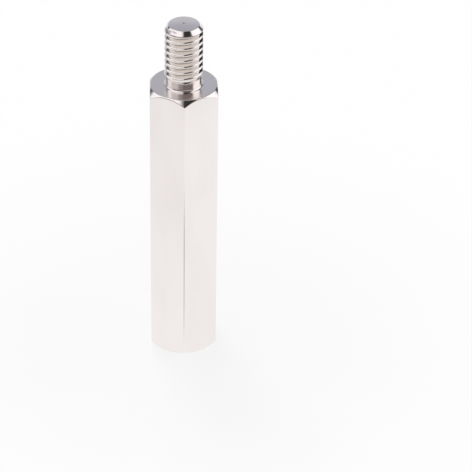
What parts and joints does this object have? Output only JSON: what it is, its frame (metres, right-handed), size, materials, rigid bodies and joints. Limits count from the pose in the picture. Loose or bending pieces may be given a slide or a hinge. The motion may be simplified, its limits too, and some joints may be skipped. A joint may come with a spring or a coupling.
{
  "type": "hex standoff",
  "caption": "Long hexagonal metal spacer with a threaded stud on one end and a tapped blind hole in the other.",
  "frame": {"origin": "centre of the bottom end face, on the axis, in the plane of the tapped hole's mouth", "axes": "+Z along the axis from the tapped hole towards the stud's tip; two flats of the hexagon face +X and -X, and two long edges lie at +Y and -Y"},
  "size_m": [0.007, 0.008, 0.039],
  "materials": {
    "nickel_plate": "bright nickel plate on brass, polished"
  },
  "bodies": {
    "root": {"standoff": "nickel_plate"}
  },
  "joints": []
}
